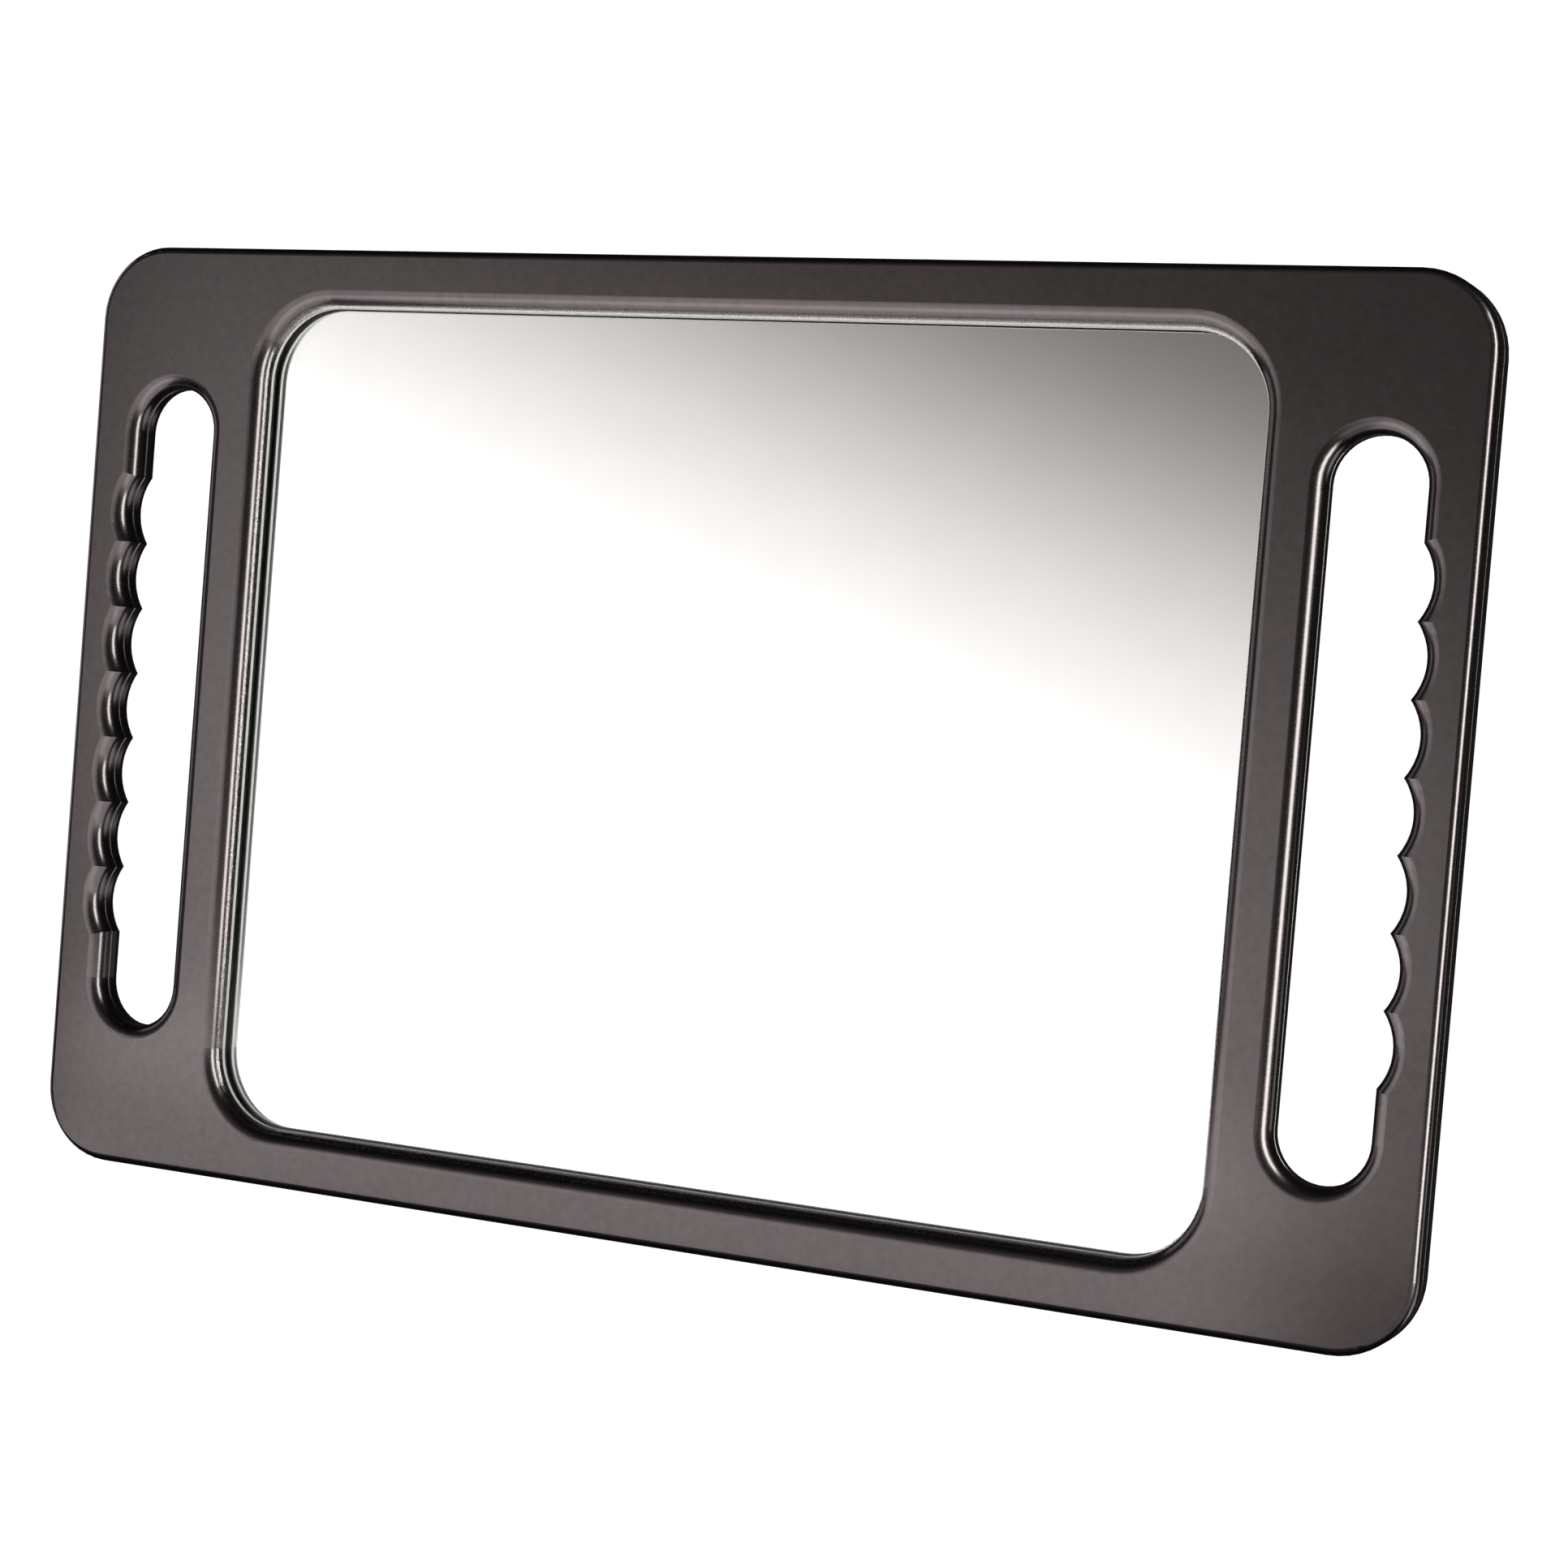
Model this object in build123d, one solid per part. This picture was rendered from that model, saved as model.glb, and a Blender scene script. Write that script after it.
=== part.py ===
"""Two-handed salon mirror: a landscape frame made of two moulded shells around a recessed glass mirror.

Frame: +X to the right seen from the front, +Z up, the mirror faces -Y. The origin is the middle of the
bottom edge, halfway through the thickness. Depths are measured from the front face towards the back.
"""
from build123d import *
import math
import os

os.makedirs("parts", exist_ok=True)

# Overall frame (mm)
FRAME_WIDTH = 430.0
FRAME_HEIGHT = 280.0
FRAME_THICKNESS = 13.0
CORNER_RADIUS = 22.0
FRONT_EDGE_RADIUS = 2.2
REAR_EDGE_RADIUS = 2.0
WALL = 2.2
REAR_WALL = 2.0
PARTING_DEPTH = 6.0
PARTING_CHAMFER = 0.3

# Mirror opening in the front shell, measured at the parting plane: a drafted wall below a large rounding
OPENING_HALF_WIDTH = 155.05
OPENING_HALF_HEIGHT = 123.1
OPENING_CORNER_RADIUS = 22.0
OPENING_EDGE_RADIUS = 4.6
OPENING_DRAFT = 8.0
LIP_DEPTH = 5.4

# Hand slots, each with a row of finger scallops along its outer side
SLOT_CENTRE_X = 186.0
SLOT_HALF_WIDTH = 13.25
SLOT_HALF_LENGTH = 97.5
SLOT_FRONT_RADIUS = 4.0
SLOT_REAR_RADIUS = 4.5
SLOT_WALL = 2.4
SCALLOP_COUNT = 7
SCALLOP_PITCH = 20.0
SCALLOP_DEPTH = 3.4

# Glass and the layers behind it
LIP_OVERLAP = 4.2
GLASS_THICKNESS = 3.0
GASKET_THICKNESS = 1.2
GASKET_WIDTH = 3.6
SILVERING_THICKNESS = 0.1
SILVERING_MARGIN = 0.2
FILM_THICKNESS = 0.15
FILM_MARGIN = 1.0
FOAM_MARGIN = 8.0
POCKET_CLEARANCE = 0.4
POCKET_WALL = 1.6
POCKET_DEPTH = 7.8

# Tongue on the front skirt, in a rebate of the rear skirt
TONGUE_INSET = 1.2
TONGUE_WIDTH = 0.9
TONGUE_HEIGHT = 1.2
TONGUE_CLEARANCE = 0.1

# Case screws, driven from the back
SCREW_RADIUS = 1.45
SCREW_HOLE_RADIUS = 1.5
SCREW_CLEAR_RADIUS = 1.7
SCREW_LENGTH = 7.0
SCREW_TIP_LENGTH = 1.2
HEAD_RADIUS = 2.7
HEAD_HEIGHT = 2.0
HEAD_EDGE_RADIUS = 0.9
CROSS_WIDTH = 0.9
CROSS_LENGTH = 3.0
CROSS_DEPTH = 1.2
COUNTERBORE_RADIUS = 3.1
COUNTERBORE_DEPTH = 2.8
BOSS_RADIUS = 3.0
BOSS_END_DEPTH = 8.0
BOSS_HOLE_FLOOR = 2.8
PILLAR_RADIUS = 4.2
RAIL_SCREW_INSET = 7.0
RAIL_SCREW_X = 108.0
SIDE_SCREW_X = 165.6
SIDE_SCREW_Z = 62.0
CORNER_SCREW_X = 197.0
CORNER_SCREW_INSET = 24.0

# Back of the rear shell
PANEL_HALF_WIDTH = 146.0
PANEL_HALF_HEIGHT = 114.0
PANEL_CORNER_RADIUS = 18.0
PANEL_RECESS = 0.5
PANEL_EDGE_RADIUS = 0.4

# Stiffening ribs inside the front shell, above and below each slot
RIB_THICKNESS = 1.4
RIB_SPACING = 14.0

# Worked-out values
GLASS_FRONT = LIP_DEPTH + GASKET_THICKNESS
GLASS_BACK = GLASS_FRONT + GLASS_THICKNESS
SILVERING_BACK = GLASS_BACK + SILVERING_THICKNESS
FILM_BACK = SILVERING_BACK + FILM_THICKNESS
INNER_BACK = FRAME_THICKNESS - REAR_WALL
GLASS_HALF_WIDTH = OPENING_HALF_WIDTH + LIP_OVERLAP
GLASS_HALF_HEIGHT = OPENING_HALF_HEIGHT + LIP_OVERLAP
GLASS_CORNER_RADIUS = OPENING_CORNER_RADIUS + LIP_OVERLAP
HALF_HEIGHT = FRAME_HEIGHT / 2
HEAD_SEAT = FRAME_THICKNESS - COUNTERBORE_DEPTH


def depth_plane(depth):
    """Plane parallel to the mirror at a depth behind the front face, local X right and local Y up."""
    centre = (0, depth - FRAME_THICKNESS / 2, HALF_HEIGHT)
    return Plane(origin=centre, x_dir=(1, 0, 0), z_dir=(0, -1, 0))


def slab(outline, start, end):
    """Solid of an outline between two depths."""
    return extrude(depth_plane(end) * outline, amount=end - start)


def rounded(half_width, half_height, radius, grow=0.0):
    """Rounded rectangle about the middle of the frame, grown outwards by an amount."""
    return RectangleRounded(2 * (half_width + grow), 2 * (half_height + grow), radius + grow)


def frame_outline(grow=0.0):
    return rounded(FRAME_WIDTH / 2, HALF_HEIGHT, CORNER_RADIUS, grow)


def opening_outline(grow=0.0):
    return rounded(OPENING_HALF_WIDTH, OPENING_HALF_HEIGHT, OPENING_CORNER_RADIUS, grow)


def glass_outline(grow=0.0):
    return rounded(GLASS_HALF_WIDTH, GLASS_HALF_HEIGHT, GLASS_CORNER_RADIUS, grow)


def slot_outline(grow=0.0):
    """Right hand slot: round ends, a straight inner side and a scalloped outer side."""
    half_pitch = SCALLOP_PITCH / 2
    arc_radius = (half_pitch**2 + SCALLOP_DEPTH**2) / (2 * SCALLOP_DEPTH)
    arc_x = SLOT_CENTRE_X + SLOT_HALF_WIDTH + SCALLOP_DEPTH - arc_radius
    radius = arc_radius + grow
    cusp_x = arc_x + math.sqrt(radius**2 - half_pitch**2)
    run_out = math.sqrt(half_pitch**2 + 2 * grow * SCALLOP_DEPTH)
    end_radius = SLOT_HALF_WIDTH + grow
    outer_x = SLOT_CENTRE_X + end_radius
    inner_x = SLOT_CENTRE_X - end_radius
    end_y = SLOT_HALF_LENGTH - SLOT_HALF_WIDTH
    last = SCALLOP_COUNT - 1
    first_y = -last * half_pitch

    edges = [ThreePointArc((inner_x, -end_y), (SLOT_CENTRE_X, -end_y - end_radius), (outer_x, -end_y))]
    edges.append(Line((outer_x, -end_y), (outer_x, first_y - run_out)))
    for index in range(SCALLOP_COUNT):
        middle_y = first_y + index * SCALLOP_PITCH
        start = (outer_x, middle_y - run_out) if index == 0 else (cusp_x, middle_y - half_pitch)
        end = (outer_x, middle_y + run_out) if index == last else (cusp_x, middle_y + half_pitch)
        edges.append(ThreePointArc(start, (arc_x + radius, middle_y), end))
    edges.append(Line((outer_x, -first_y + run_out), (outer_x, end_y)))
    edges.append(ThreePointArc((outer_x, end_y), (SLOT_CENTRE_X, end_y + end_radius), (inner_x, end_y)))
    edges.append(Line((inner_x, end_y), (inner_x, -end_y)))
    return make_face(edges)


def both_slots(start, end, grow=0.0):
    """Solids of the right and left slots between two depths."""
    right = slab(slot_outline(grow), start, end)
    return [right, mirror(right, about=Plane.YZ)]


def screw_places():
    """Screw positions, as X and height above the middle of the frame."""
    rail_y = HALF_HEIGHT - RAIL_SCREW_INSET
    corner_y = HALF_HEIGHT - CORNER_SCREW_INSET
    places = [(x, y) for x in (-RAIL_SCREW_X, 0, RAIL_SCREW_X) for y in (-rail_y, rail_y)]
    places += [(x, y) for x in (-SIDE_SCREW_X, SIDE_SCREW_X) for y in (-SIDE_SCREW_Z, SIDE_SCREW_Z)]
    places += [(x, y) for x in (-CORNER_SCREW_X, CORNER_SCREW_X) for y in (-corner_y, corner_y)]
    return places


def discs(radius, start, end):
    """Cylinders of one radius at every screw position."""
    return [slab(Pos(x, y) * Circle(radius), start, end) for x, y in screw_places()]


def loops_at(solid, depth):
    """Edge loops of the flat face at a depth: the outer loop first, then the inner loops by size."""
    y = depth - FRAME_THICKNESS / 2
    flat = [f for f in solid.faces().filter_by(Plane.XZ) if abs(f.center().Y - y) < 0.01]
    face = max(flat, key=lambda f: f.area)
    inner = sorted(face.inner_wires(), key=lambda w: -w.bounding_box().size.X)
    return face.outer_wire().edges(), [w.edges() for w in inner]


def shell_ribs():
    """Ribs between each slot end and the outer skirt."""
    reach = HALF_HEIGHT - SLOT_HALF_LENGTH - WALL / 2
    middle_y = SLOT_HALF_LENGTH + reach / 2
    ribs = []
    for x in (-SLOT_CENTRE_X, SLOT_CENTRE_X):
        for side in (-1, 1):
            for step in (-0.5, 0.5):
                rib = Pos(x + step * RIB_SPACING, side * middle_y) * Rectangle(RIB_THICKNESS, reach)
                ribs.append(slab(rib, WALL, PARTING_DEPTH))
    return ribs


def make_front_frame():
    """Front shell: face, drafted lip around the mirror, slot skirts, glass pocket and screw bosses."""
    body = slab(frame_outline(), 0, PARTING_DEPTH) - both_slots(0, PARTING_DEPTH)
    foot = depth_plane(PARTING_DEPTH) * opening_outline()
    body -= extrude(foot, amount=PARTING_DEPTH, taper=-OPENING_DRAFT)
    outer, (opening, *slots) = loops_at(body, 0)
    body = fillet(outer, FRONT_EDGE_RADIUS)
    opening = loops_at(body, 0)[1][0]
    body = fillet(opening, OPENING_EDGE_RADIUS)
    for index in (1, 2):
        body = fillet(loops_at(body, 0)[1][index], SLOT_FRONT_RADIUS)
    outer, (opening, *slots) = loops_at(body, PARTING_DEPTH)
    body = chamfer(outer + slots[0] + slots[1], PARTING_CHAMFER)

    pocket_grow = POCKET_CLEARANCE + POCKET_WALL
    cavity = slab(frame_outline(-WALL), WALL, PARTING_DEPTH) - both_slots(WALL, PARTING_DEPTH, SLOT_WALL)
    cavity -= slab(glass_outline(pocket_grow), WALL, PARTING_DEPTH)
    body -= cavity
    body += shell_ribs()
    body += slab(glass_outline(pocket_grow), PARTING_DEPTH, POCKET_DEPTH)
    body -= slab(glass_outline(POCKET_CLEARANCE), LIP_DEPTH, POCKET_DEPTH)

    tongue_end = PARTING_DEPTH + TONGUE_HEIGHT
    tongue = slab(frame_outline(-TONGUE_INSET), PARTING_DEPTH, tongue_end)
    body += tongue - slab(frame_outline(-TONGUE_INSET - TONGUE_WIDTH), PARTING_DEPTH, tongue_end)
    body += discs(BOSS_RADIUS, WALL, BOSS_END_DEPTH)
    body -= discs(SCREW_HOLE_RADIUS, BOSS_HOLE_FLOOR, BOSS_END_DEPTH)
    return body


def make_rear_cover():
    """Rear shell: back plate with a shallow panel, skirts and counterbored screw pillars."""
    body = slab(frame_outline(), PARTING_DEPTH, FRAME_THICKNESS)
    body -= both_slots(PARTING_DEPTH, FRAME_THICKNESS)
    outer, slots = loops_at(body, FRAME_THICKNESS)
    body = fillet(outer, REAR_EDGE_RADIUS)
    for index in (0, 1):
        body = fillet(loops_at(body, FRAME_THICKNESS)[1][index], SLOT_REAR_RADIUS)
    outer, slots = loops_at(body, PARTING_DEPTH)
    body = chamfer(outer + slots[0] + slots[1], PARTING_CHAMFER)

    cavity = slab(frame_outline(-WALL), PARTING_DEPTH, INNER_BACK)
    body -= cavity - both_slots(PARTING_DEPTH, INNER_BACK, SLOT_WALL)
    rebate_end = PARTING_DEPTH + TONGUE_HEIGHT + TONGUE_CLEARANCE
    rebate = slab(frame_outline(TONGUE_CLEARANCE - TONGUE_INSET), PARTING_DEPTH, rebate_end)
    body -= rebate - slab(frame_outline(-WALL), PARTING_DEPTH, rebate_end)
    panel = rounded(PANEL_HALF_WIDTH, PANEL_HALF_HEIGHT, PANEL_CORNER_RADIUS)
    body -= slab(panel, FRAME_THICKNESS - PANEL_RECESS, FRAME_THICKNESS)
    body = fillet(loops_at(body, FRAME_THICKNESS)[1][0], PANEL_EDGE_RADIUS)
    body += discs(PILLAR_RADIUS, BOSS_END_DEPTH, INNER_BACK)
    body -= discs(SCREW_CLEAR_RADIUS, BOSS_END_DEPTH, FRAME_THICKNESS)
    body -= discs(COUNTERBORE_RADIUS, HEAD_SEAT, FRAME_THICKNESS)
    return body


def make_mirror_glass():
    return slab(glass_outline(), GLASS_FRONT, GLASS_BACK)


def make_mirror_silvering():
    """Silver and its protective paint on the back of the glass."""
    return slab(glass_outline(-SILVERING_MARGIN), GLASS_BACK, SILVERING_BACK)


def make_safety_film():
    """Adhesive film that holds the pieces together if the glass breaks."""
    return slab(glass_outline(-FILM_MARGIN), SILVERING_BACK, FILM_BACK)


def make_foam_pad():
    """Foam sheet that presses the glass against the lip."""
    return slab(glass_outline(-FOAM_MARGIN), FILM_BACK, INNER_BACK)


def make_glass_gasket():
    """Pale soft ring between the lip and the glass, its edge showing at the foot of the drafted wall."""
    ring = slab(opening_outline(GASKET_WIDTH), LIP_DEPTH, GLASS_FRONT)
    return ring - slab(opening_outline(), LIP_DEPTH, GLASS_FRONT)


def make_screw():
    """One pan-head case screw about the local Z axis, its head seat at Z = 0 and its tip below."""
    shank_length = SCREW_LENGTH - SCREW_TIP_LENGTH
    shank = Pos(0, 0, -shank_length / 2) * Cylinder(SCREW_RADIUS, shank_length)
    tip_middle = -shank_length - SCREW_TIP_LENGTH / 2
    tip = Pos(0, 0, tip_middle) * Cone(SCREW_RADIUS / 3, SCREW_RADIUS, SCREW_TIP_LENGTH)
    head = Pos(0, 0, HEAD_HEIGHT / 2) * Cylinder(HEAD_RADIUS, HEAD_HEIGHT)
    head = fillet(head.edges().sort_by(Axis.Z)[-1], HEAD_EDGE_RADIUS)
    cross_z = HEAD_HEIGHT - CROSS_DEPTH / 2
    cross = Pos(0, 0, cross_z) * (
        Box(CROSS_LENGTH, CROSS_WIDTH, CROSS_DEPTH) + Box(CROSS_WIDTH, CROSS_LENGTH, CROSS_DEPTH)
    )
    return head - cross + shank + tip


def make_case_screws():
    """All the case screws, as separate solids in one group."""
    screw = make_screw()
    seat_y = HEAD_SEAT - FRAME_THICKNESS / 2
    screws = []
    for x, y in screw_places():
        seat = Plane(origin=(x, seat_y, HALF_HEIGHT + y), x_dir=(1, 0, 0), z_dir=(0, 1, 0))
        screws.append(seat * screw)
    return Compound(screws)


def write(name, shape):
    export_step(shape, f"parts/{name}.step")


write("front_frame", make_front_frame())
write("rear_cover", make_rear_cover())
write("mirror_glass", make_mirror_glass())
write("mirror_silvering", make_mirror_silvering())
write("safety_film", make_safety_film())
write("foam_pad", make_foam_pad())
write("glass_gasket", make_glass_gasket())
write("case_screws", make_case_screws())
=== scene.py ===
import math

import bpy
from mathutils import Matrix, Vector


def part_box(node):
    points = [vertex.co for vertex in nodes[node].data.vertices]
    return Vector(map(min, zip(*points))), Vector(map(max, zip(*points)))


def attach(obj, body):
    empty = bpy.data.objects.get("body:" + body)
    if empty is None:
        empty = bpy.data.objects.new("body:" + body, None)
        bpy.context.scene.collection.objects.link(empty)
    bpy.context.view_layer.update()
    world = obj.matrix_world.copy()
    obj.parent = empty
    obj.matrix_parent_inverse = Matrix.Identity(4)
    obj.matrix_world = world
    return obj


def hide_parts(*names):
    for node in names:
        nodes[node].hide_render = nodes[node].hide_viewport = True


# Camera, in metres and degrees, with its lens and sensor in millimetres.
# Heading turns left from +Y, pitch is above the horizon.
CAMERA_PLACE = (0.4007, -0.8201, 0.1545)
CAMERA_HEADING = 24.59
CAMERA_PITCH = -2.215
CAMERA_ROLL = 4.586
CAMERA_LENS = 74.16
CAMERA_SENSOR = 36.0
CAMERA_SHIFT_Y = 0.0331
CAMERA_REACH = 40.0

# Studio, in metres and degrees. Powers and levels are emission strengths.
WHITE_LIGHT = (1.02, 1.0, 0.985)
CREAM_LIGHT = (0.96, 1.0, 0.93)
DOME_RADIUS = 7.0
DOME_POWER = 1.1
FLOOR_RADIUS = 6.5
FLOOR_CLOUDS = 1.5
FLOOR_DARK = (0.78, 0.78, 0.78)
FLOOR_LIGHT = (0.82, 0.82, 0.82)
DIM_LEVEL = 0.1

# Edges and fades of the lights: where each starts, where it ends, and its levels there if not 0 and 1
KEY_PLACE = (-0.50, -1.2, 0.1545)
KEY_LOW_CORNER = (-0.74, -0.42)
KEY_HIGH_CORNER = (0.62, 0.90)
KEY_TILT = (0.3155, 0.9489)
KEY_FADE = (0.359, -0.023, 0.16, 1.2)
KEY_LOW_BOOST = (0.03, -0.20, 0.0, 0.4)
KEY_BOOST_EDGE = (0.30, 0.0)
KEY_LEFT_EDGE = (-0.69, -0.53)
KEY_RIGHT_EDGE = (0.62, 0.46)
KEY_LOWER_EDGE = (-0.42, -0.32)

STRIP_AZIMUTH = 66.5
STRIP_DISTANCE = 0.78
STRIP_HEIGHT = 0.18
STRIP_HALF_WIDTH = 0.17
STRIP_EVEN_HALF_WIDTH = 0.11
STRIP_BOTTOM = -0.5
STRIP_TOP = 0.55
STRIP_POWER = 9.5

SIDE_AZIMUTH = -88.0
SIDE_DISTANCE = 1.3
SIDE_HEIGHT = 0.2
SIDE_HALF_WIDTH = 0.5
SIDE_EVEN_HALF_WIDTH = 0.2
SIDE_BOTTOM = -0.5
SIDE_TOP = 0.7
SIDE_POWER = 0.7

# The pool's right and left edges are in half widths of the pool at that distance.
POOL_LOW_CORNER = (-0.9, -0.85)
POOL_HIGH_CORNER = (0.3, -0.012)
POOL_HEIGHT = 0.0004
POOL_LEVEL = 1.25
POOL_SLANT = 0.491
POOL_WIDENING = -0.19
POOL_RIGHT_HALF_WIDTH = 0.17
POOL_LEFT_HALF_WIDTH = 0.20
POOL_RIGHT_EDGE = (1.25, 0.88, 0.35, 1.0)
POOL_LEFT_EDGE = (1.25, 0.98)
POOL_BRIGHT_FROM = (-0.10, -0.28)
POOL_BRIGHT_TO = (-0.60, -0.36)

# World. A glow is given by the cosine of the angle from its middle, start and end, and its strength.
WORLD_TINT = (1.0, 0.98, 0.96, 1.0)
WORLD_LEVEL = 0.015
FRONT_GLOW = (0.3, 0.9, 0.06)
REAR_GLOW = (0.92, 0.98, 1.1)
REAR_GLOW_AZIMUTH = 128
REAR_GLOW_ELEVATION = -22

# Materials. Colours are linear, noise scales are per metre and bump heights are in metres.
NOISE_LOW = 0.3
NOISE_HIGH = 0.7
BRONZE_GREY = (0.084, 0.067, 0.071)
FILM_GREY = (0.55, 0.56, 0.58)
FOAM_BLACK = (0.03, 0.03, 0.032)
GASKET_WHITE = (0.62, 0.615, 0.60)
GLASS_TINT = (0.995, 1.0, 0.998, 1.0)
SILVER_DARK = (0.96, 0.955, 0.957)
SILVER_LIGHT = (0.98, 0.975, 0.977)
STEEL_DARK = (0.30, 0.30, 0.30)
STEEL_LIGHT = (0.46, 0.45, 0.43)
FINE_GRAIN = 2600.0
MEDIUM_GRAIN = 420.0
CLOUDS = 9.0
FRONT_ROUGHNESS = 0.27
REAR_ROUGHNESS = 0.30
FRONT_GRAIN_HEIGHT = 0.00001
REAR_GRAIN_HEIGHT = 0.000015
COAT_ROUGHNESS = 0.16
COAT_IOR = 1.5
GLASS_IOR = 1.5
GLASS_WAVES = 14.0
GLASS_WAVE_HEIGHT = 0.000004
GLASS_SMEARS = 30.0
GLASS_ROUGHEST = 0.004
SILVER_SPECKS = 60.0
FOAM_CELLS = 1800.0
FOAM_CELL_HEIGHT = 0.00008
# Painted shade in the hollows of the foam cells, as a share of the colour
FOAM_HOLLOW_PAINTED_SHADE = 0.8
FOAM_ROUGHNESS = 0.85
STEEL_STAINS = 700.0
STEEL_GRAIN = 2400.0
STEEL_GRAIN_HEIGHT = 0.00001
STEEL_SMOOTHEST = 0.28
STEEL_ROUGHEST = 0.42

# The silvered layer, set just clear of the glass and the film
SILVER_CORNER_RADIUS = 0.026
GLASS_GAP = 0.00003
FILM_GAP = 0.00002

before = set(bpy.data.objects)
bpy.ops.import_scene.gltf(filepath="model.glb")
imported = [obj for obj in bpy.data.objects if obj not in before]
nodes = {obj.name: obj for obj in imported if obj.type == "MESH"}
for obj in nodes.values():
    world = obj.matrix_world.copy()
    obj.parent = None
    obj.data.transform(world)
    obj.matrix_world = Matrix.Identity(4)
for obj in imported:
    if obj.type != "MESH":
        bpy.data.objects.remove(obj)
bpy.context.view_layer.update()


# ---------------------------------------------------------------- node helpers
class Tree:
    """A short way to add and join shader nodes."""

    def __init__(self, owner):
        owner.use_nodes = True
        self.nodes = owner.node_tree.nodes
        self.links = owner.node_tree.links
        self.nodes.clear()

    def add(self, kind, inputs=None, **settings):
        node = self.nodes.new(kind)
        for name, value in settings.items():
            setattr(node, name, value)
        for name, value in (inputs or {}).items():
            socket = node.inputs[name]
            if hasattr(value, "is_linked"):
                self.links.new(value, socket)
            else:
                socket.default_value = value
        return node

    def math(self, operation, a, b=0.0):
        return self.add("ShaderNodeMath", {0: a, 1: b}, operation=operation).outputs[0]

    def ramp(self, value, stops):
        node = self.add("ShaderNodeValToRGB", {0: value})
        ramp = node.color_ramp
        while len(ramp.elements) > 1:
            ramp.elements.remove(ramp.elements[-1])
        for index, (place, colour) in enumerate(stops):
            element = ramp.elements[0] if index == 0 else ramp.elements.new(place)
            element.position = place
            element.color = (*colour, 1.0)
        return node.outputs["Color"]

    def noise(self, vector, scale, detail=3.0, roughness=0.5):
        inputs = {"Vector": vector, "Scale": scale, "Detail": detail, "Roughness": roughness}
        return self.add("ShaderNodeTexNoise", inputs).outputs["Fac"]

    def spread(self, value, low, high):
        """Takes a noise value from its usual middle band to the range low..high."""
        band = {"From Min": NOISE_LOW, "From Max": NOISE_HIGH}
        inputs = {"Value": value, **band, "To Min": low, "To Max": high}
        return self.add("ShaderNodeMapRange", inputs).outputs["Result"]

    def tint(self, value, dark, light):
        """Takes a noise value from its usual middle band to a colour between dark and light."""
        return self.ramp(value, [(NOISE_LOW, dark), (NOISE_HIGH, light)])

    def bump(self, height, distance):
        inputs = {"Height": height, "Distance": distance, "Strength": 1.0}
        return self.add("ShaderNodeBump", inputs).outputs["Normal"]

    def place(self):
        """Position on the object, in metres."""
        return self.add("ShaderNodeTexCoord").outputs["Object"]


def material(name):
    made = bpy.data.materials.new(name)
    return made, Tree(made)


def finish_surface(tree, shader):
    tree.add("ShaderNodeOutputMaterial", {"Surface": shader})


def principled(tree, inputs):
    finish_surface(tree, tree.add("ShaderNodeBsdfPrincipled", inputs).outputs[0])


# ---------------------------------------------------------------- materials
def satin_finish(name, colour, roughness, grain):
    """Satin metallic paint on moulded plastic: fine moulded grain, cloudy sheen and a clear top coat."""
    made, t = material(name)
    place = t.place()
    fine = t.noise(place, FINE_GRAIN, 2.0, 0.6)
    medium = t.noise(place, MEDIUM_GRAIN)
    cloud = t.noise(place, CLOUDS)
    tone = t.math("ADD", t.spread(cloud, -0.12, 0.12), t.spread(medium, -0.14, 0.14))
    dark = tuple(c * 0.84 for c in colour)
    light = tuple(c * 1.16 for c in colour)
    mixed = t.tint(t.math("ADD", tone, 0.5), dark, light)
    rough = t.math("ADD", t.spread(cloud, -0.015, 0.015), t.spread(fine, roughness - 0.02, roughness + 0.03))
    shape = t.bump(t.math("ADD", fine, t.math("MULTIPLY", medium, 0.8)), grain)
    inputs = {
        "Base Color": mixed,
        "Metallic": 1.0,
        "Roughness": rough,
        "Normal": shape,
        "Coat Weight": 1.0,
        "Coat Roughness": COAT_ROUGHNESS,
        "Coat IOR": COAT_IOR,
    }
    principled(t, inputs)
    return made


def clear_glass(name):
    """Float glass with very slight waves and smears."""
    made, t = material(name)
    place = t.place()
    wave = t.noise(place, GLASS_WAVES, 1.0)
    smear = t.noise(place, GLASS_SMEARS, 4.0)
    inputs = {
        "Base Color": GLASS_TINT,
        "Roughness": t.spread(smear, 0.0, GLASS_ROUGHEST),
        "IOR": GLASS_IOR,
        "Transmission Weight": 1.0,
        "Normal": t.bump(wave, GLASS_WAVE_HEIGHT),
    }
    principled(t, inputs)
    return made


def silvering(name):
    """A perfect mirror, very slightly uneven in tone."""
    made, t = material(name)
    speck = t.noise(t.place(), SILVER_SPECKS, 2.0)
    inputs = {"Base Color": t.tint(speck, SILVER_DARK, SILVER_LIGHT), "Metallic": 1.0, "Roughness": 0.0}
    principled(t, inputs)
    return made


def soft_foam(name, colour):
    """Matt surface with fine cells, with painted shade darkening the hollows of the cells."""
    made, t = material(name)
    cells = t.noise(t.place(), FOAM_CELLS)
    # Painted shade: the colour is darkened where the cells are low, in their hollows
    mixed = t.tint(cells, tuple(c * FOAM_HOLLOW_PAINTED_SHADE for c in colour), colour)
    inputs = {"Base Color": mixed, "Roughness": FOAM_ROUGHNESS, "Normal": t.bump(cells, FOAM_CELL_HEIGHT)}
    principled(t, inputs)
    return made


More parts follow.
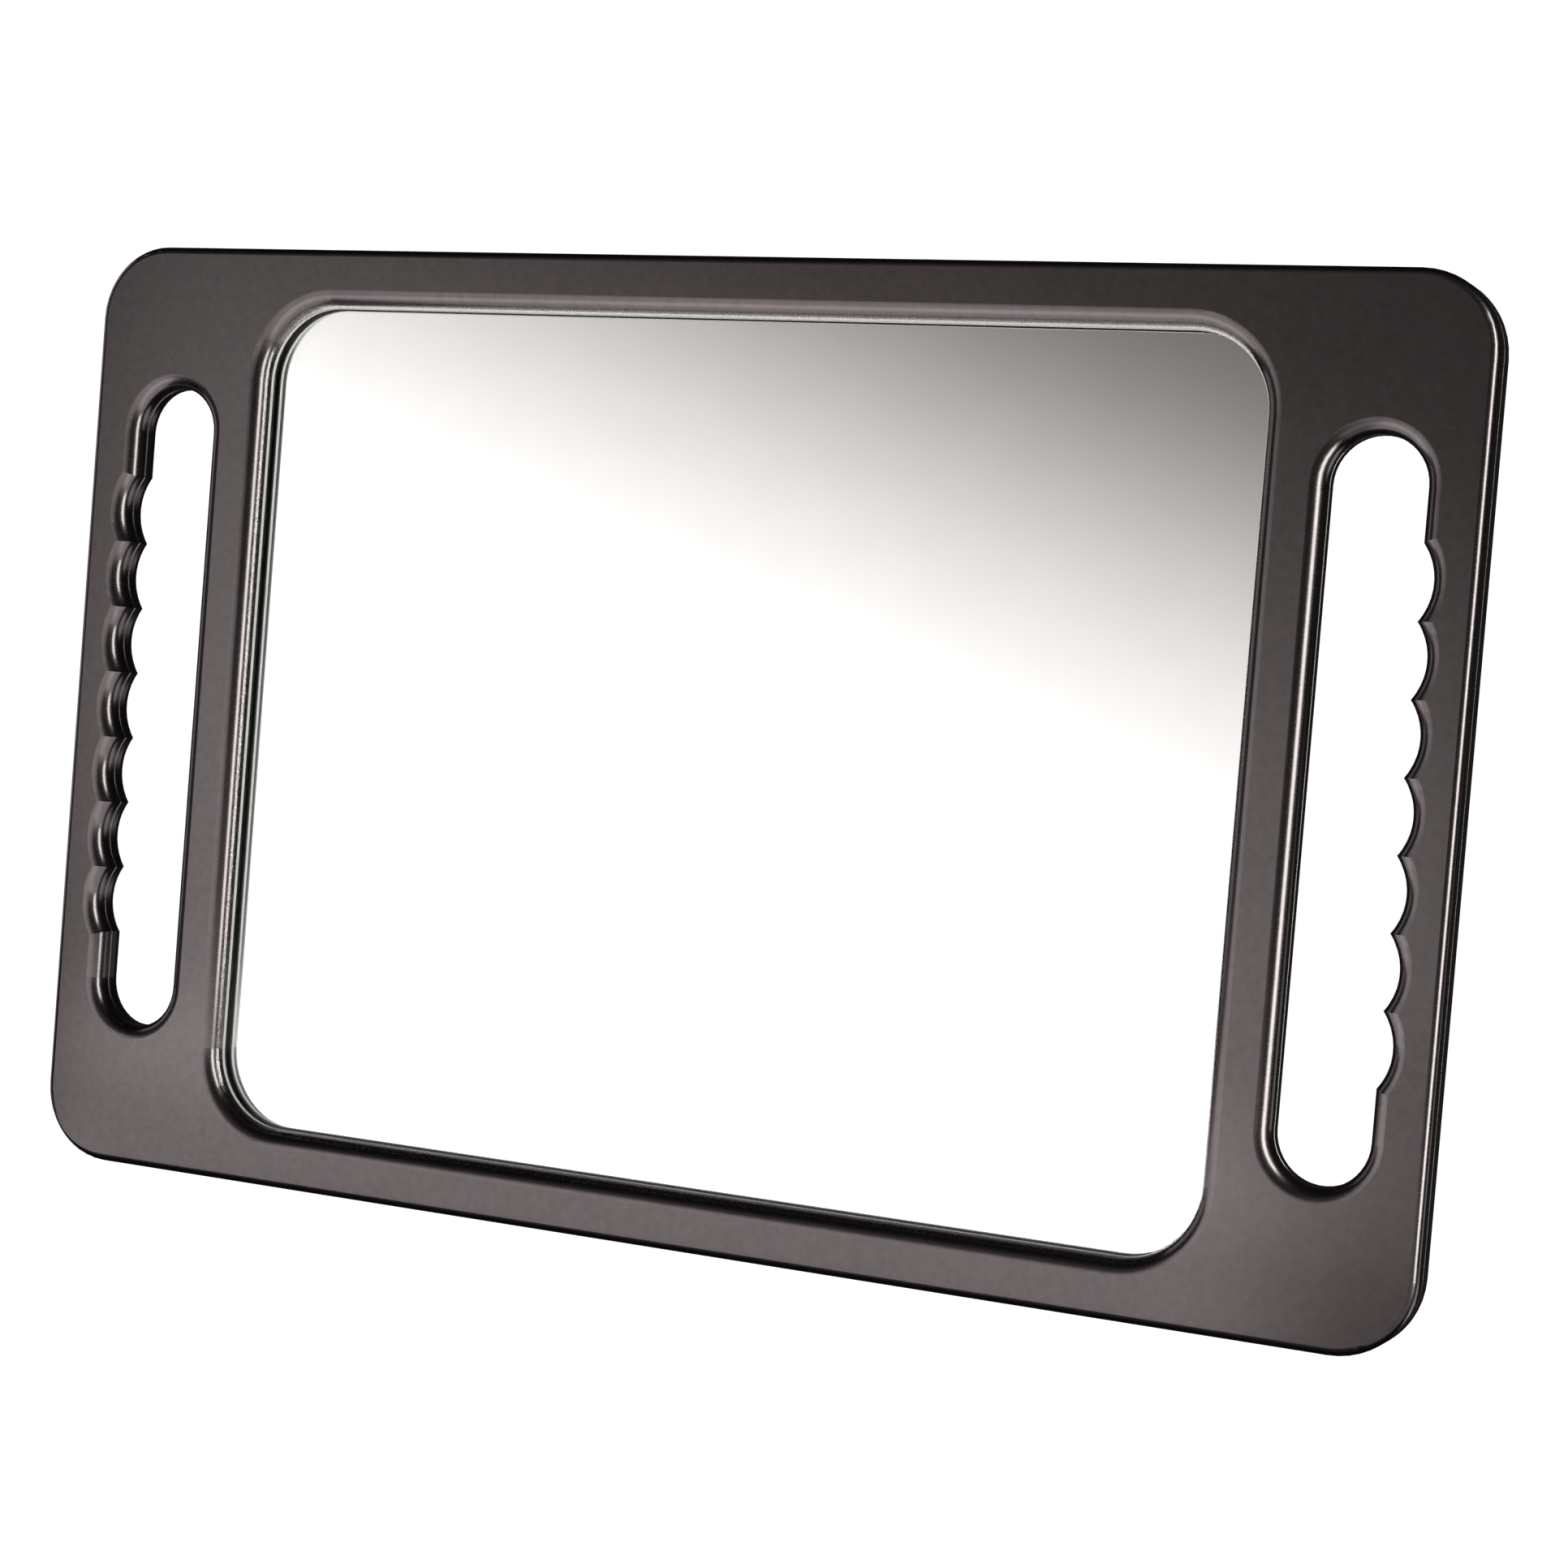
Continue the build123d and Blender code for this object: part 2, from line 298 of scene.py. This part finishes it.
def screw_steel(name):
    """Dull plated steel, smoother where it is darker."""
    made, t = material(name)
    place = t.place()
    stain = t.noise(place, STEEL_STAINS)
    inputs = {
        "Base Color": t.tint(stain, STEEL_DARK, STEEL_LIGHT),
        "Metallic": 1.0,
        "Roughness": t.spread(stain, STEEL_SMOOTHEST, STEEL_ROUGHEST),
        "Normal": t.bump(t.noise(place, STEEL_GRAIN, 2.0), STEEL_GRAIN_HEIGHT),
    }
    principled(t, inputs)
    return made


def coat(node, made):
    """Gives a CAD node its material, in every slot it has."""
    data = nodes[node].data
    for index in range(max(1, len(data.materials))):
        if index < len(data.materials):
            data.materials[index] = made
        else:
            data.materials.append(made)


# ---------------------------------------------------------------- the silvered layer
def rounded_outline(half_width, half_height, radius, steps=16):
    """Points of a rounded rectangle about the origin."""
    points = []
    for quarter, (sx, sy) in enumerate(((1, 1), (-1, 1), (-1, -1), (1, -1))):
        for step in range(steps + 1):
            angle = math.radians(90 * quarter + 90 * step / steps)
            x = sx * (half_width - radius) + radius * math.cos(angle)
            y = sy * (half_height - radius) + radius * math.sin(angle)
            points.append((x, y))
    return points


def sheet_mesh(name, outline, front, back, centre_z):
    """A thin flat sheet between two depths, facing -Y."""
    count = len(outline)
    verts = [(x, front, centre_z + z) for x, z in outline] + [(x, back, centre_z + z) for x, z in outline]
    faces = [tuple(range(count)), tuple(range(2 * count - 1, count - 1, -1))]
    faces += [(i, i + count, (i + 1) % count + count, (i + 1) % count) for i in range(count)]
    mesh = bpy.data.meshes.new(name)
    mesh.from_pydata(verts, [], faces)
    mesh.update()
    made = bpy.data.objects.new(name, mesh)
    bpy.context.scene.collection.objects.link(made)
    return made


silver_low, silver_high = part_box("mirror_silvering")
film_low, film_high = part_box("safety_film")
half_width = (silver_high[0] - silver_low[0]) / 2
half_height = (silver_high[2] - silver_low[2]) / 2
centre_z = (silver_high[2] + silver_low[2]) / 2
outline = rounded_outline(half_width, half_height, SILVER_CORNER_RADIUS)
silver = sheet_mesh("silver_coat", outline, silver_low[1] + GLASS_GAP, film_low[1] - FILM_GAP, centre_z)
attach(silver, "root")
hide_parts("mirror_silvering")
silver.data.materials.append(silvering("silver_layer"))

coat("front_frame", satin_finish("front_satin_finish", BRONZE_GREY, FRONT_ROUGHNESS, FRONT_GRAIN_HEIGHT))
coat("rear_cover", satin_finish("rear_satin_finish", BRONZE_GREY, REAR_ROUGHNESS, REAR_GRAIN_HEIGHT))
coat("mirror_glass", clear_glass("float_glass"))
coat("safety_film", soft_foam("film_back", FILM_GREY))
coat("foam_pad", soft_foam("foam_sheet", FOAM_BLACK))
coat("glass_gasket", soft_foam("pale_gasket", GASKET_WHITE))
coat("case_screws", screw_steel("zinc_screws"))


# ---------------------------------------------------------------- studio
def emissive(name, colour, strength):
    made, t = material(name)
    shader = t.add("ShaderNodeEmission", {"Color": (*colour, 1.0), "Strength": strength})
    finish_surface(t, shader.outputs[0])
    return made


def studio_floor():
    """Pale floor, bright enough to run into the white background."""
    bpy.ops.mesh.primitive_circle_add(vertices=96, radius=FLOOR_RADIUS, fill_type="NGON", location=(0, 0, 0))
    floor = bpy.context.object
    floor.name = "studio_floor"
    made, t = material("pale_floor")
    tone = t.tint(t.noise(t.place(), FLOOR_CLOUDS), FLOOR_DARK, FLOOR_LIGHT)
    matt = t.add("ShaderNodeBsdfDiffuse", {"Color": tone})
    glow = t.add("ShaderNodeEmission", {"Color": (1, 1, 1, 1), "Strength": 1.0})
    both = t.add("ShaderNodeAddShader", {0: matt.outputs[0], 1: glow.outputs[0]})
    finish_surface(t, both.outputs[0])
    floor.data.materials.append(made)
    floor.visible_glossy = False
    floor.visible_transmission = False


def studio_dome():
    """White background that only the camera sees."""
    bpy.ops.mesh.primitive_uv_sphere_add(segments=64, ring_count=32, radius=DOME_RADIUS, location=(0, 0, 0))
    dome = bpy.context.object
    dome.name = "studio_backdrop"
    dome.data.materials.append(emissive("white_backdrop", (1.0, 1.0, 1.0), DOME_POWER))
    for kind in ("diffuse", "glossy", "transmission", "volume_scatter", "shadow"):
        setattr(dome, "visible_" + kind, False)


def toward(azimuth, elevation):
    """Unit vector. Azimuth turns from straight in front of the mirror to its right, seen from the front."""
    a, e = math.radians(azimuth), math.radians(elevation)
    return Vector((math.sin(a) * math.cos(e), -math.cos(a) * math.cos(e), math.sin(e)))


def smooth(t, value, start, end, low=0.0, high=1.0):
    """Goes smoothly from low to high as value goes from start to end."""
    inputs = {"Value": value, "From Min": start, "From Max": end, "To Min": low, "To Max": high}
    return t.add("ShaderNodeMapRange", inputs, interpolation_type="SMOOTHSTEP").outputs["Result"]


def light_card(name, low, high, across, up, origin, colour, pattern):
    """Soft box: a flat emitting card that the camera doesn't see, from corner low to corner high.

    Where the card is dim, its colour is taken further from white."""
    corners = ((low[0], low[1]), (high[0], low[1]), (high[0], high[1]), (low[0], high[1]))
    mesh = bpy.data.meshes.new(name)
    mesh.from_pydata([(x, y, 0) for x, y in corners], [], [(0, 1, 2, 3)])
    made = bpy.data.objects.new(name, mesh)
    bpy.context.scene.collection.objects.link(made)
    across, up = Vector(across).normalized(), Vector(up).normalized()
    turn = Matrix((across, up, across.cross(up))).transposed().to_4x4()
    made.matrix_world = Matrix.Translation(origin) @ turn
    lit, t = material(name)
    split = t.add("ShaderNodeSeparateXYZ", {0: t.place()}).outputs
    strength = pattern(t, split[0], split[1])
    tone = t.ramp(strength, [(DIM_LEVEL, tuple(c ** 3 for c in colour)), (1.0, colour)])
    shader = t.add("ShaderNodeEmission", {"Color": tone, "Strength": strength})
    finish_surface(t, shader.outputs[0])
    mesh.materials.append(lit)
    made.visible_camera = False
    made.visible_shadow = False
    return made


def key_pattern(t, x, y):
    """Brightest low and to the left, grey towards the upper right, and out at both sides and below."""
    slant = t.math("ADD", t.math("MULTIPLY", x, KEY_TILT[0]), t.math("MULTIPLY", y, KEY_TILT[1]))
    fade = smooth(t, slant, *KEY_FADE)
    low_boost = smooth(t, slant, *KEY_LOW_BOOST)
    boost = t.math("MULTIPLY", low_boost, smooth(t, x, *KEY_BOOST_EDGE))
    sides = t.math("MULTIPLY", smooth(t, x, *KEY_LEFT_EDGE), smooth(t, x, *KEY_RIGHT_EDGE))
    level = t.math("MULTIPLY", t.math("ADD", fade, boost), sides)
    return t.math("MULTIPLY", level, smooth(t, y, *KEY_LOWER_EDGE))


def strip_pattern(t, x, y):
    """Even along its length, soft at its two long edges."""
    left = smooth(t, x, -STRIP_HALF_WIDTH, -STRIP_EVEN_HALF_WIDTH)
    right = smooth(t, x, STRIP_HALF_WIDTH, STRIP_EVEN_HALF_WIDTH)
    return t.math("MULTIPLY", t.math("MULTIPLY", left, right), STRIP_POWER)


def side_pattern(t, x, y):
    """Even in the middle, fading out to both sides."""
    level = smooth(t, t.math("ABSOLUTE", x), SIDE_HALF_WIDTH, SIDE_EVEN_HALF_WIDTH)
    return t.math("MULTIPLY", level, SIDE_POWER)


def pool_pattern(t, x, y):
    """Light on the floor in front of the mirror, brightest a little way out and wider with distance."""
    across = t.math("SUBTRACT", x, t.math("MULTIPLY", y, POOL_SLANT))
    widening = t.math("MULTIPLY", y, POOL_WIDENING)
    right_edge = t.math("DIVIDE", across, t.math("ADD", widening, POOL_RIGHT_HALF_WIDTH))
    left_width = t.math("ADD", widening, POOL_LEFT_HALF_WIDTH)
    left_edge = t.math("DIVIDE", t.math("MULTIPLY", across, -1.0), left_width)
    right = smooth(t, right_edge, *POOL_RIGHT_EDGE)
    sides = t.math("MULTIPLY", right, smooth(t, left_edge, *POOL_LEFT_EDGE))
    bright = t.math("MULTIPLY", smooth(t, y, *POOL_BRIGHT_FROM), smooth(t, y, *POOL_BRIGHT_TO))
    return t.math("MULTIPLY", t.math("ADD", bright, POOL_LEVEL), sides)


def studio_lights():
    """Four soft boxes: key, strip, side and the pool on the floor."""
    right, up, back = (1, 0, 0), (0, 0, 1), (0, 1, 0)
    key_card = (KEY_LOW_CORNER, KEY_HIGH_CORNER, right, up, KEY_PLACE)
    light_card("key_soft_box", *key_card, WHITE_LIGHT, key_pattern)
    strip_at = toward(STRIP_AZIMUTH, 0) * STRIP_DISTANCE + Vector((0, 0, STRIP_HEIGHT))
    strip_low, strip_high = (-STRIP_HALF_WIDTH, STRIP_BOTTOM), (STRIP_HALF_WIDTH, STRIP_TOP)
    strip_card = (strip_low, strip_high, toward(STRIP_AZIMUTH + 90, 0), up, strip_at)
    light_card("strip_soft_box", *strip_card, CREAM_LIGHT, strip_pattern)
    side_at = toward(SIDE_AZIMUTH, 0) * SIDE_DISTANCE + Vector((0, 0, SIDE_HEIGHT))
    side_low, side_high = (-SIDE_HALF_WIDTH, SIDE_BOTTOM), (SIDE_HALF_WIDTH, SIDE_TOP)
    side_card = (side_low, side_high, toward(SIDE_AZIMUTH + 90, 0), up, side_at)
    light_card("side_soft_box", *side_card, WHITE_LIGHT, side_pattern)
    pool_card = (POOL_LOW_CORNER, POOL_HIGH_CORNER, right, back, (0, 0, POOL_HEIGHT))
    pool = light_card("floor_pool", *pool_card, WHITE_LIGHT, pool_pattern)
    pool.visible_diffuse = False


def surroundings():
    """World: dim studio, a little brighter in front, with a soft patch low on the right behind."""
    world = bpy.data.worlds.new("studio_surroundings")
    bpy.context.scene.world = world
    t = Tree(world)
    seen = t.add("ShaderNodeTexCoord").outputs["Generated"]

    def near(direction, start, end, strength):
        inputs = {0: seen, 1: tuple(direction)}
        value = t.add("ShaderNodeVectorMath", inputs, operation="DOT_PRODUCT").outputs["Value"]
        return smooth(t, value, start, end, 0.0, strength)

    front = near(toward(0, 0), *FRONT_GLOW)
    rear = near(toward(REAR_GLOW_AZIMUTH, REAR_GLOW_ELEVATION), *REAR_GLOW)
    total = t.math("ADD", t.math("ADD", front, WORLD_LEVEL), rear)
    shader = t.add("ShaderNodeBackground", {"Color": WORLD_TINT, "Strength": total})
    t.add("ShaderNodeOutputWorld", {"Surface": shader.outputs[0]})


def camera():
    """The one camera, placed, turned and shifted as the values at the top say."""
    data = bpy.data.cameras.new("camera")
    data.lens = CAMERA_LENS
    data.sensor_width = CAMERA_SENSOR
    data.shift_y = CAMERA_SHIFT_Y
    data.clip_end = CAMERA_REACH
    made = bpy.data.objects.new("camera", data)
    bpy.context.scene.collection.objects.link(made)
    turn = Matrix.Rotation(math.radians(CAMERA_HEADING), 4, "Z")
    turn = turn @ Matrix.Rotation(math.radians(90 + CAMERA_PITCH), 4, "X")
    turn = turn @ Matrix.Rotation(math.radians(CAMERA_ROLL), 4, "Z")
    made.matrix_world = Matrix.Translation(CAMERA_PLACE) @ turn
    bpy.context.scene.camera = made


studio_floor()
studio_dome()
studio_lights()
surroundings()
camera()
bpy.context.scene.view_settings.view_transform = "Standard"
